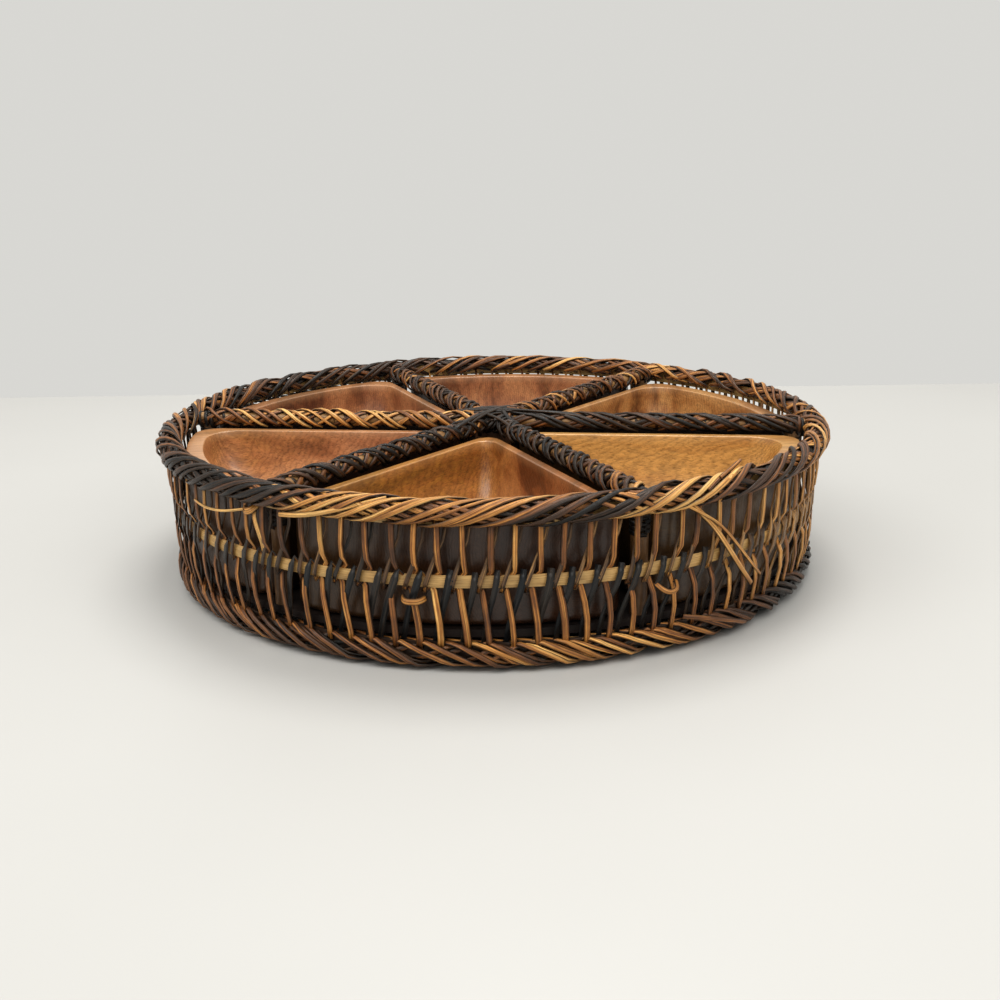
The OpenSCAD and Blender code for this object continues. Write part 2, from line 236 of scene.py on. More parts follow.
def wraps(bundle, core, starts, advance, turns, radius, tone, width=CANE_W, thick=CANE_T, wander=1.0,
          square=False, low=0.0, lift=0.0, limits=None):
    """Lays one strand round the core from each start: it moves on by `advance` while it turns from
    turns[0] to turns[1] (degrees, 0 = out, 90 = up). radius is a number or a function of u; low is
    how much the underside is raised (number or function of u); lift brings the far end outwards;
    wander scales how unevenly it is laid; square lays it round a rounded square."""
    n, rings = len(starts), bundle.rings
    s = np.linspace(0, 1, rings)
    sway = chance.normal(0, 1, (n, 4))
    starts, advance = np.asarray(starts, float)[:, None], np.asarray(advance, float).reshape(-1, 1)
    u = starts + advance * s + wander * 0.7 * MM * np.sin(pi * s * (1.5 + 0.4 * sway[:, :1])) * sway[:, 1:2]
    if limits:
        u = np.clip(u, *limits)
    turn = np.radians(turns[0] + (turns[1] - turns[0]) * s + wander * 7 * np.sin(pi * s) * sway[:, 2:3])
    middle, out, up = core(u)
    away = radius(u) if callable(radius) else np.full_like(u, radius)
    away = away + wander * 0.3 * MM * np.sin(2 * pi * s + sway[:, 1:2] * 2) + wander * 0.2 * MM * sway[:, :1]
    away = away + lift * (s - 0.5)
    c, d = np.cos(turn), np.sin(turn)
    facing = np.stack([c, d], -1)
    if square:
        reach, facing = square_round(turn)
        away = away * reach
    rise = away * d
    raised = low(u) if callable(low) else low
    rise = np.where(rise < 0, rise * (1 - raised), rise)
    face = facing[..., :1] * out + facing[..., 1:] * up
    bundle.add(middle + out * (away * c)[..., None] + up * rise[..., None], face, width, thick, tone)


def spread(length, count, jitter=0.25, pairs=0.0):
    """Starts spaced along a length, each a little off, every second one pulled towards its neighbour."""
    i = np.arange(count)
    return (i + chance.uniform(-jitter, jitter, count) - pairs * (i % 2)) * length / count


def by_angle(angle, stops):
    """Value at an angle (radians) from (degrees, value) stops round the ring."""
    stops = sorted(stops)
    at = np.degrees(angle) % 360
    return np.interp(at, [a for a, _ in stops], [v for _, v in stops], period=360)


def varied(values, amount):
    values = np.asarray(values, float)
    return np.clip(values + chance.normal(0, amount, values.shape), 0, 1)


# -------------------- materials

class Nodes:
    """Shorthand for a material's node tree."""

    def __init__(self, name):
        self.material = bpy.data.materials.new(name)
        self.material.use_nodes = True
        self.tree = self.material.node_tree
        self.shader = self.tree.nodes["Principled BSDF"]

    def add(self, kind, **settings):
        node = self.tree.nodes.new("ShaderNode" + kind)
        for key, value in settings.items():
            setattr(node, key, value)
        return node

    def link(self, source, target):
        self.tree.links.new(source, target)

    def set(self, **values):
        for key, value in values.items():
            self.shader.inputs[key.replace("_", " ")].default_value = value

    def object_place(self, scale, turn=0.0):
        """Object coordinates, turned about Z so that X runs with the grain, then scaled."""
        place = self.add("TexCoord").outputs["Object"]
        first = self.add("Mapping", vector_type="POINT")
        first.inputs["Rotation"].default_value = (0, 0, -turn)
        self.link(place, first.inputs["Vector"])
        then = self.add("Mapping", vector_type="POINT")
        then.inputs["Scale"].default_value = scale
        self.link(first.outputs[0], then.inputs["Vector"])
        return then.outputs[0]

    def strand_place(self, scale):
        place = self.add("UVMap", uv_map="grain").outputs[0]
        then = self.add("Mapping", vector_type="POINT")
        then.inputs["Scale"].default_value = scale
        self.link(place, then.inputs["Vector"])
        return then.outputs[0]

    def noise(self, place, scale, detail, rough, bend=0.0):
        node = self.add("TexNoise")
        node.inputs["Scale"].default_value = scale
        node.inputs["Detail"].default_value = detail
        node.inputs["Roughness"].default_value = rough
        node.inputs["Distortion"].default_value = bend
        self.link(place, node.inputs["Vector"])
        return node.outputs["Fac"]

    def ramp(self, value, stops):
        node = self.add("ValToRGB")
        points = node.color_ramp.elements
        while len(points) < len(stops):
            points.new(0.5)
        for point, (at, colour) in zip(points, stops):
            point.position = at
            point.color = (*colour, 1) if hasattr(colour, "__len__") else (colour, colour, colour, 1)
        self.link(value, node.inputs["Fac"])
        return node.outputs["Color"]

    def mix(self, a, b, share, kind="MIX"):
        node = self.add("Mix", data_type="RGBA", blend_type=kind)
        for socket, value in ((node.inputs[0], share), (node.inputs[6], a), (node.inputs[7], b)):
            if isinstance(value, bpy.types.NodeSocket):
                self.link(value, socket)
            else:
                socket.default_value = value if isinstance(value, float) else (*value, 1)
        return node.outputs[2]

    def sum(self, a, b, kind="ADD"):
        node = self.add("Math", operation=kind)
        for socket, value in zip(node.inputs, (a, b)):
            if isinstance(value, bpy.types.NodeSocket):
                self.link(value, socket)
            else:
                socket.default_value = value
        return node.outputs[0]

    def attribute(self, name):
        return self.add("Attribute", attribute_name=name).outputs["Fac"]

    def bump(self, height, depth, strength):
        node = self.add("Bump")
        node.inputs["Distance"].default_value = depth
        node.inputs["Strength"].default_value = strength
        self.link(height, node.inputs["Height"])
        self.link(node.outputs[0], self.shader.inputs["Normal"])


# Cane goes from black stain through purple brown and red brown to gold and straw.
CANE_STAIN = ((0.0, (0.007, 0.006, 0.005)), (0.2, (0.038, 0.022, 0.013)), (0.4, (0.115, 0.050, 0.022)),
              (0.6, (0.29, 0.115, 0.032)), (0.8, (0.60, 0.285, 0.075)), (1.0, (0.82, 0.50, 0.18)))
PITH_STAIN = ((0.0, (0.010, 0.012, 0.014)), (0.35, (0.036, 0.028, 0.022)), (0.7, (0.115, 0.064, 0.032)),
              (1.0, (0.46, 0.26, 0.10)))


def strand_cane(name):
    """Varnished split cane: fine fibres along each strand, bark side stained, pith side greyer."""
    n = Nodes(name)
    fibre = n.noise(n.strand_place((30, 3000, 1)), 1.0, 4, 0.7)
    streak = n.noise(n.strand_place((12, 1100, 1)), 1.0, 2, 0.5)
    blotch = n.noise(n.strand_place((60, 90, 1)), 1.0, 3, 0.6)
    spot = n.sum(n.sum(streak, 0.5, "SUBTRACT"), 1.0, "MULTIPLY")
    spot = n.sum(spot, n.sum(n.sum(blotch, 0.5, "SUBTRACT"), 0.7, "MULTIPLY"))
    bark = n.ramp(n.sum(n.attribute("tone"), spot), CANE_STAIN)
    # Painted shade: the bark colour darkens towards both edges of the strand, where it meets its neighbours.
    bark = n.mix(bark, n.ramp(n.attribute("edge"), ((0.5, 1.0), (1.0, 0.32))), 1.0, "MULTIPLY")
    pith = n.ramp(n.sum(n.attribute("grey"), spot), PITH_STAIN)
    colour = n.mix(pith, bark, n.attribute("bark"))
    # Painted shade of a groove: a dark line down the middle of the strand, in patches.
    painted_groove_shade = n.ramp(n.attribute("edge"), ((0.04, 0.35), (0.22, 1.0)))
    colour = n.mix(colour, painted_groove_shade, n.ramp(blotch, ((0.35, 0.0), (0.6, 0.8))), "MULTIPLY")
    colour = n.mix(colour, n.ramp(fibre, ((0.34, 0.22), (0.5, 0.95), (0.66, 1.5))), 0.9, "MULTIPLY")
    n.link(colour, n.shader.inputs["Base Color"])
    n.link(n.ramp(blotch, ((0.3, 0.32), (0.7, 0.52))), n.shader.inputs["Roughness"])
    n.set(Coat_Weight=0.15, Coat_Roughness=0.25, Specular_IOR_Level=0.38)
    n.bump(n.sum(fibre, n.sum(blotch, 0.6, "MULTIPLY")), 0.4 * MM, 0.8)
    return n.material


def round_cane(name, dark, light, turn, upright=False):
    """Round cane rod: fibres along it and darker blotches."""
    n = Nodes(name)
    scale = (700, 700, 22) if upright else (22, 700, 700)
    fibre = n.noise(n.object_place(scale, turn), 1.0, 4, 0.6)
    blotch = n.noise(n.object_place((40, 120, 120), turn), 1.0, 3, 0.6)
    colour = n.ramp(n.sum(n.sum(fibre, 0.5, "MULTIPLY"), n.sum(blotch, 0.5, "MULTIPLY")),
                    ((0.32, dark), (0.66, light)))
    n.link(colour, n.shader.inputs["Base Color"])
    n.set(Roughness=0.48, Coat_Weight=0.2, Coat_Roughness=0.3)
    n.bump(fibre, 0.2 * MM, 0.7)
    return n.material


def flat_band(name, dark, mid, light):
    """Flat cane bent into a ring: fibres run round it."""
    n = Nodes(name)
    place = n.add("TexCoord").outputs["Object"]
    split = n.add("SeparateXYZ")
    n.link(place, split.inputs[0])
    angle = n.sum(split.outputs["Y"], split.outputs["X"], "ARCTAN2")
    joined = n.add("CombineXYZ")
    n.link(n.sum(angle, 14.0, "MULTIPLY"), joined.inputs["X"])
    n.link(n.sum(split.outputs["Z"], 2200.0, "MULTIPLY"), joined.inputs["Y"])
    fibre = n.noise(joined.outputs[0], 1.0, 4, 0.6)
    blotch = n.noise(place, 70.0, 3, 0.6)
    colour = n.ramp(fibre, ((0.3, dark), (0.5, mid), (0.75, light)))
    shade = n.ramp(blotch, ((0.35, 0.62), (0.6, 1.0)))
    n.link(n.mix(colour, shade, 0.8, "MULTIPLY"), n.shader.inputs["Base Color"])
    n.set(Roughness=0.5, Coat_Weight=0.15, Coat_Roughness=0.3)
    n.bump(fibre, 0.15 * MM, 0.6)
    return n.material


def carved_wood(name, turn, dark, mid, light, gold, seed, streak, rim, golden):
    """Oiled and varnished hardwood: growth rings, golden figure, short dark pores. The outside is
    painted near black, partly a dark stain and partly painted shade, and the rim is sanded paler.
    golden = (x, y, from, to): the figure grows from none to full between those two distances along
    (x, y); this one-sided gold is partly the wood's figure and partly painted sheen."""
    n = Nodes(name)
    place = n.object_place((1, 1, 1), turn)

    def stretched(scale):
        node = n.add("Mapping", vector_type="POINT")
        node.inputs["Location"].default_value = (seed * 3.7, seed * 2.1, seed * 1.3)
        node.inputs["Scale"].default_value = scale
        n.link(place, node.inputs["Vector"])
        return node.outputs[0]

    bands = n.noise(stretched((5, 40, 28)), 1.0, 3, 0.55, 0.8)
    lines = n.noise(stretched((14, 420, 300)), 1.0, 3, 0.6, 0.4)
    figure = n.noise(stretched((80, 260, 230)), 1.0, 4, 0.65, 0.8)
    pores = n.noise(stretched((260, 1700, 1400)), 1.0, 2, 0.6)
    heart = n.add("Mapping", vector_type="POINT")      # growth rings round a heart below the dish
    heart.inputs["Location"].default_value = (0, 0.02 + 0.011 * seed, -0.06)
    heart.inputs["Scale"].default_value = (0.25, 1, 1)
    n.link(place, heart.inputs["Vector"])
    growth = n.add("TexWave", wave_type="RINGS", rings_direction="X")
    n.link(heart.outputs[0], growth.inputs["Vector"])
    for key, value in (("Scale", 230), ("Distortion", 18), ("Detail", 5), ("Detail Scale", 0.2),
                       ("Detail Roughness", 0.62)):
        growth.inputs[key].default_value = value
    growth = growth.outputs["Fac"]
    flecks = n.noise(stretched((420, 1100, 1100)), 1.0, 2, 0.6)
    colour = n.ramp(bands, ((0.38, dark), (0.50, mid), (0.62, light)))
    share = n.ramp(figure, ((0.44, 0.0), (0.74, 0.42)))
    # Gold that grows along one direction across the dish: partly the wood's figure, partly painted sheen.
    if golden:
        node = n.add("Mapping", vector_type="POINT")
        node.inputs["Rotation"].default_value = (0, 0, -np.arctan2(golden[1], golden[0]))
        n.link(n.add("TexCoord").outputs["Object"], node.inputs["Vector"])
        split = n.add("SeparateXYZ")
        n.link(node.outputs[0], split.inputs[0])
        reach = n.add("MapRange")
        n.link(n.sum(split.outputs["X"], n.sum(bands, 0.05, "MULTIPLY")), reach.inputs["Value"])
        for key, value in (("From Min", golden[2]), ("From Max", golden[3])):
            reach.inputs[key].default_value = value + 0.025          # what the bands add on average
        share = n.sum(n.sum(share, 0.35), reach.outputs[0], "MULTIPLY")
    colour = n.mix(colour, gold, share)
    colour = n.mix(colour, n.ramp(lines, ((0.34, 0.75), (0.52, 1.0), (0.68, 1.12))), 0.8, "MULTIPLY")
    colour = n.mix(colour, n.ramp(growth, ((0.0, 0.78), (0.4, 0.99), (1.0, 1.06))), 0.75, "MULTIPLY")
    colour = n.mix(colour, n.ramp(pores, ((0.34, 0.35), (0.47, 1.0))), 0.55, "MULTIPLY")
    colour = n.mix(colour, n.ramp(flecks, ((0.46, 0.97), (0.68, 1.35))), 0.35, "MULTIPLY")
    if streak:
        stain = n.ramp(n.noise(stretched((2.2, 17, 3)), 1.0, 2, 0.4, 0.6), ((0.60, 0.0), (0.72, streak)))
        colour = n.mix(colour, dark, stain)
    colour = n.mix(colour, (0.55, 0.32, 0.15), n.sum(n.attribute("rim"), rim, "MULTIPLY"))
    # Painted shade: the outside of the dish is mixed towards near black, partly a dark stain and partly shade
    # behind the wicker wall.
    colour = n.mix(colour, (0.020, 0.010, 0.005), n.sum(n.attribute("outside"), 0.87, "MULTIPLY"))
    n.link(colour, n.shader.inputs["Base Color"])
    n.link(n.ramp(lines, ((0.3, 0.42), (0.7, 0.30))), n.shader.inputs["Roughness"])
    n.set(Coat_Weight=0.5, Coat_Roughness=0.24)
    n.bump(n.sum(n.sum(lines, pores), n.sum(growth, 0.5, "MULTIPLY")), 0.14 * MM, 0.6)
    return n.material


def board_wood(name, dark, light, gloss):
    """Plain board with straight grain."""
    n = Nodes(name)
    grain = n.noise(n.object_place((7, 190, 120), radians(12)), 1.0, 4, 0.6, 0.4)
    rings = n.noise(n.object_place((3, 26, 20), radians(12)), 1.0, 3, 0.5, 0.9)
    colour = n.ramp(n.sum(n.sum(grain, 0.5, "MULTIPLY"), n.sum(rings, 0.5, "MULTIPLY")),
                    ((0.34, dark), (0.64, light)))
    n.link(colour, n.shader.inputs["Base Color"])
    n.set(Roughness=gloss)
    n.bump(grain, 0.15 * MM, 0.6)
    return n.material


def plated_steel(name, colour, rough):
    """Zinc-plated or blued steel, brushed one way and slightly clouded."""
    n = Nodes(name)
    brushed = n.noise(n.object_place((60, 900, 900), radians(30)), 1.0, 3, 0.6)
    cloud = n.noise(n.object_place((30, 30, 30)), 1.0, 3, 0.6)
    n.link(n.mix(colour, n.ramp(cloud, ((0.3, 0.72), (0.7, 1.05))), 0.8, "MULTIPLY"),
           n.shader.inputs["Base Color"])
    n.link(n.ramp(brushed, ((0.3, rough - 0.08), (0.7, rough + 0.12))), n.shader.inputs["Roughness"])
    n.set(Metallic=1.0)
    n.bump(brushed, 0.04 * MM, 0.4)
    return n.material


def foot_rubber(name):
    """Matt black rubber with a fine speckle."""
    n = Nodes(name)
    speckle = n.noise(n.object_place((900, 900, 900)), 1.0, 3, 0.6)
    n.link(n.ramp(speckle, ((0.35, (0.014, 0.014, 0.015)), (0.7, (0.035, 0.034, 0.033)))),
           n.shader.inputs["Base Color"])
    n.set(Roughness=0.82)
    n.bump(speckle, 0.08 * MM, 0.6)
    return n.material


CANE = strand_cane("split_cane")
PALE = flat_band("pale_flat_cane", (0.26, 0.14, 0.045), (0.50, 0.31, 0.115), (0.64, 0.44, 0.19))

# -------------------- top and bottom borders

# Stain round the top border (degrees, 0 black to 1 straw), from the first divider towards +Y.
TOP_STAIN = ((0, 0.54), (25, 0.62), (50, 0.66), (68, 0.66), (86, 0.50), (102, 0.34), (117, 0.16), (142, 0.30),
             (157, 0.50), (177, 0.46), (202, 0.36), (222, 0.20), (243, 0.16), (248, 0.80), (262, 0.80),
             (270, 0.66), (276, 0.48), (282, 0.36), (293, 0.30), (298, 0.84), (311, 0.86), (316, 0.36),
             (326, 0.34), (334, 0.76), (350, 0.70))
FOOT_STAIN = ((0, 0.16), (20, 0.22), (60, 0.42), (120, 0.40), (180, 0.42), (240, 0.44), (262, 0.52),
              (274, 0.76), (290, 0.80), (302, 0.50), (318, 0.28), (330, 0.14), (350, 0.14))
# Where the second layer lies on top of the first (1) and where it lies under it (0).
CROSS_OVER = ((0, 0.2), (15, 0.8), (45, 1.0), (66, 0.3), (80, 0.0), (345, 0.0))
# Share of its depth by which the underside of the border is raised (below 0: hangs lower).
OPEN_UNDER = ((0, 0.0), (15, 0.2), (35, 0.3), (66, 0.3), (84, 0.2), (100, 0.1), (112, -0.3), (130, -0.4),
              (165, -0.4), (205, -0.35), (225, 0.0), (350, 0.0))
OVER = (TOP_TUBE - 0.6 * CANE_T) * 0.98        # how far out the border's outer layer lies


def top_border():
    """Three layers of cane wound round the long canes of the rim, leaning opposite ways."""
    bundle = Bundle()
    core, length = ring_core(TOP_R, TOP_Z), TURN * TOP_R

    def swap(u):
        return by_angle(u / TOP_R, CROSS_OVER)

    def low(u):
        return by_angle(u / TOP_R, OPEN_UNDER)

    def stain(u, share=1.0):
        return by_angle(u / TOP_R, TOP_STAIN) * share

    count = 116                                # strands in each layer
    starts = spread(length, count, 0.28, 0.36)
    wraps(bundle, core, starts, chance.normal(1, 0.08, count) * 76 * MM, (-98, 215),
          lambda u: OVER - swap(u) * 1.25 * CANE_T, varied(stain(starts + 0.02), 0.14), low=low,
          width=chance.normal(3.1, 0.4, count) * MM, thick=CANE_T * 0.8, wander=1.5, lift=0.5 * MM)
    starts = spread(length, count, 0.28, 0.3)
    wraps(bundle, core, starts, -chance.normal(1, 0.08, count) * 70 * MM, (-85, 225),
          lambda u: OVER - (1 - swap(u)) * 1.2 * CANE_T, varied(stain(starts, 0.86), 0.15), low=low,
          width=chance.normal(2.8, 0.35, count) * MM, thick=CANE_T * 0.8, wander=1.5)
    starts = spread(length, count, 0.3)
    wraps(bundle, core, starts, chance.normal(1, 0.1, count) * 42 * MM, (-80, 240), OVER - 2.4 * CANE_T,
          varied(stain(starts, 0.6), 0.15), low=low)
    bundle.piece("top_border_weave", "turntable", CANE, ("top_border",))


def bottom_border():
    """One strand from the foot of each loop, laid over its neighbours like scales, on crossing layers."""
    bundle = Bundle()
    core, length = ring_core(FOOT_R, FOOT_Z), TURN * FOOT_R
    over = (FOOT_TUBE - 0.6 * CANE_T) * 0.98
    starts = (np.arange(LOOPS) + FIRST_LOOP + chance.uniform(-0.12, 0.12, LOOPS)) * LOOP_TURN * FOOT_R
    wraps(bundle, core, starts, chance.normal(1, 0.08, LOOPS) * 50 * MM, (118, -112), over,
          varied(by_angle(starts / FOOT_R, FOOT_STAIN), 0.10), square=True, lift=1.5 * MM,
          width=chance.normal(2.7, 0.25, LOOPS) * MM, wander=0.9)
    starts = starts + 0.4 * LOOP_TURN * FOOT_R
    wraps(bundle, core, starts, chance.normal(1, 0.08, LOOPS) * 42 * MM, (124, -100), over - 0.9 * CANE_T,
          varied(by_angle(starts / FOOT_R, FOOT_STAIN) * 0.8, 0.12), square=True, lift=1.5 * MM,
          width=chance.normal(2.5, 0.25, LOOPS) * MM, wander=0.9)
    starts = spread(length, LOOPS, 0.25)
    wraps(bundle, core, starts, -chance.normal(1, 0.1, LOOPS) * 30 * MM, (120, -118), over - 1.9 * CANE_T,
          varied(by_angle(starts / FOOT_R, FOOT_STAIN) * 0.6, 0.1), square=True)
    bundle.piece("bottom_border_weave", "turntable", CANE, ("bottom_border",))


top_border()
bottom_border()

# -------------------- wall loops

# Stations of a loop: sideways in loop pitches, out from the band, height, way the bark faces
# (degrees, 0 = out, 90 = up). Upper loops hang from the border and hook under the band.
BEHIND, FRONT = -1.75 * MM, 1.0 * MM
UPPER = ((0.02, 2.2 * MM, top_low.z + 6 * MM, 0), (0.00, 2.6 * MM, top_low.z - 2 * MM, 0),
         (-0.02, 2.8 * MM, BAND_Z + 17 * MM, 0), (0.0, 2.2 * MM, BAND_Z + 10 * MM, 0),
         (0.03, BEHIND * 0.6, BAND_Z + 4.6 * MM, 0), (-0.25, BEHIND, BAND_Z, 0),
         (-0.50, 0.0, BAND_Z - 5.2 * MM, 90), (-0.40, FRONT, BAND_Z - 1 * MM, 180),
         (-0.25, FRONT, BAND_Z + 4.5 * MM, 180), (-0.05, -0.2 * MM, BAND_Z + 12 * MM, 180),
         (0.22, -0.6 * MM, BAND_Z + 21 * MM, 180), (0.36, 0.2 * MM, top_low.z + 5 * MM, 180))
# Lower loops stand in the bottom border and hook over the band.
LOWER = ((-0.02, -2.0 * MM, foot_high.z - 5 * MM, 0), (0.0, -1.0 * MM, foot_high.z + 1 * MM, 0),
         (-0.03, 0.6 * MM, BAND_Z - 21 * MM, 0), (-0.12, 0.8 * MM, BAND_Z - 12 * MM, 0),
         (-0.22, BEHIND * 0.7, BAND_Z - 4.8 * MM, 0), (-0.42, BEHIND, BAND_Z, 0),
         (-0.60, 0.0, BAND_Z + 5.4 * MM, -90), (-0.66, FRONT, BAND_Z + 1 * MM, -180),
         (-0.80, FRONT * 0.9, BAND_Z - 5.5 * MM, -180), (-1.00, -1.2 * MM, BAND_Z - 13 * MM, -180),
         (-1.20, -3.2 * MM, BAND_Z - 22 * MM, -180), (-1.38, -3.4 * MM, foot_high.z - 3 * MM, -180))


# How broad the loops are round the wall: the ones at the two sides are the broadest.
LOOP_BREADTH = ((0, 1.35), (20, 1.25), (60, 1.0), (140, 1.0), (170, 1.3), (205, 1.3), (225, 1.0), (315, 1.0),
                (335, 1.3))


def loops(name, node, stations, tone, grey, width, slim):
    """One tier of the wall. tone and grey are the stains round it, slim the width along a loop."""
    bundle = Bundle(len(stations))
    turn, out, height, facing = np.array(stations).T
    i = np.arange(LOOPS)
    loose = chance.normal(0, 1, (LOOPS, 4))
    s = np.linspace(0, 1, len(stations))
    angle = (i[:, None] + FIRST_LOOP + 0.07 * loose[:, :1] + turn * (1 + 0.12 * loose[:, 1:2])) * LOOP_TURN
    angle = angle + 0.05 * LOOP_TURN * np.sin(2 * pi * s + 2 * loose[:, 2:3])
    hook = np.abs(height - BAND_Z) < 7 * MM
    away = BAND_R + out + 0.3 * MM * loose[:, 3:4] * np.sin(pi * s) * ~hook
    z = height + 0.4 * MM * loose[:, 2:3] * hook
    path = np.stack([away * np.cos(angle), away * np.sin(angle), np.broadcast_to(z, angle.shape)], -1)
    lean = np.radians(facing) + np.zeros_like(angle)
    face = np.stack([np.cos(lean) * np.cos(angle), np.cos(lean) * np.sin(angle), np.sin(lean)], -1)
    at = i * LOOP_TURN
    pinch = np.interp(s, np.linspace(0, 1, len(slim)), slim)
    width = width * chance.normal(1, 0.07, LOOPS)[:, None] * pinch * by_angle(at, LOOP_BREADTH)[:, None]
    bundle.add(path, face, width, CANE_T * 0.8, varied(by_angle(at, tone), 0.09),
               varied(by_angle(at, grey), 0.08))
    bundle.piece(name, "turntable", CANE, (node,))


loops("upper_loops_cane", "upper_loops", UPPER,
      ((0, 0.72), (90, 0.6), (180, 0.54), (222, 0.60), (250, 0.66), (290, 0.68), (330, 0.76)),
      ((0, 0.95), (12, 0.9), (90, 0.5), (180, 0.50), (250, 0.55), (296, 0.70), (315, 0.94)),
      3.1 * MM, (1, 1, 1, 1, 1, 1, 0.9, 0.75, 0.7, 0.6, 0.55, 0.55))
loops("lower_loops_cane", "lower_loops", LOWER,
      ((0, 0.66), (90, 0.5), (180, 0.52), (230, 0.54), (260, 0.62), (300, 0.64), (340, 0.68)),
      ((0, 0.80), (12, 0.7), (90, 0.3), (180, 0.40), (230, 0.35), (250, 0.14), (298, 0.10), (313, 0.36),
       (324, 0.72), (336, 0.84)), 3.3 * MM, (1, 1, 1, 1, 1, 1, 1, 1, 0.95, 0.85, 0.8, 0.8))

# -------------------- middle band

def flat_hoop():
    """Flat split cane bent into a ring half way up the wall, not quite even in height."""
    thick, tall = 1.3 * MM, 6.2 * MM
    bm = bmesh.new()
    section = bmesh.ops.create_circle(bm, segments=8, radius=0.5)["verts"]
    bmesh.ops.rotate(bm, verts=section, matrix=Matrix.Rotation(pi / 8, 3, "Z"))
    bmesh.ops.rotate(bm, verts=section, matrix=Matrix.Rotation(pi / 2, 3, "X"))
    bmesh.ops.scale(bm, verts=section, vec=(thick / cos(pi / 8), 1, tall / cos(pi / 8)))
    bmesh.ops.translate(bm, verts=section, vec=(BAND_R - thick / 2, 0, BAND_Z))
    bmesh.ops.spin(bm, geom=bm.verts[:] + bm.edges[:], axis=(0, 0, 1), cent=(0, 0, 0), angle=TURN, steps=240,
                   use_merge=True)
    for vert in bm.verts:
        a = np.arctan2(vert.co.y, vert.co.x)
        grow = 1 + 0.05 * sin(5 * a + 1) + 0.03 * sin(11 * a)
        vert.co.z = BAND_Z + (vert.co.z - BAND_Z) * grow + 0.2 * MM * sin(3 * a) + 0.12 * MM * sin(17 * a)
    bmesh.ops.remove_doubles(bm, verts=bm.verts[:], dist=0.01 * MM)
    bmesh.ops.recalc_face_normals(bm, faces=bm.faces[:])
    mesh = bpy.data.meshes.new("middle_band_cane")
    bm.to_mesh(mesh)
    bm.free()
    finished(mesh, "turntable", PALE, ("middle_band",))


flat_hoop()

# -------------------- dividers

# For each divider: stain of the first and second layer, how far a strand runs along the rod while it
# crosses over the top (mm), strands in each layer, and the stain of the first layer at the rim end.
DIVIDERS = ((0.10, 0.36, 38, 17, 0.16), (0.46, 0.40, 17, 20, 0.6), (0.34, 0.50, 15, 21, 0.4),
            (0.74, 0.60, 25, 19, 0.62), (0.10, 0.42, 19, 21, 0.25), (0.08, 0.36, 13, 22, 0.9))


def divider(index, first, second, run, count, rim_end):
    """Two crossing layers of cane wound round a rod, over a plain inner one."""
    angle = index * TURN / BAYS
    bundle = Bundle(11)
    core = rod_core(angle, ROD_Z)
    limits = start, end = bound_low.x - 6 * MM, top_high.x - 2.2 * TOP_TUBE     # knot to border
    length = end - start
    over = BOUND_TUBE + 0.3 * MM - 0.55 * CANE_T
    along = start + spread(length, count, 0.3, 0.3)
    share = np.clip((along - start) / length * 2.4 - 1.4, 0, 1)
    wraps(bundle, core, along - run * MM / 2, run * MM * 1.5, (-55, 235), over,
          varied(first + (rim_end - first) * share, 0.15), width=chance.normal(2.8, 0.35, count) * MM,
          wander=1.2, limits=limits)
    along = start + spread(length, count, 0.3, 0.2)
    wraps(bundle, core, along + run * MM / 2, -run * MM * 1.4, (-55, 235), over - 0.8 * CANE_T,
          varied(np.full(count, second), 0.17), width=chance.normal(2.7, 0.3, count) * MM,
          wander=1.2, limits=limits)
    inner = count + 12
    wraps(bundle, core, start + spread(length, inner), 7 * MM, (-60, 240), over - 1.9 * CANE_T,
          varied(np.full(inner, 0.2), 0.12), width=2.6 * MM, limits=limits)
    bundle.piece(f"divider_{index + 1}_weave", "turntable", CANE,
                 (f"divider_binding_{index + 1}",))


for index, settings in enumerate(DIVIDERS):
    divider(index, *settings)

# -------------------- knot, lashings

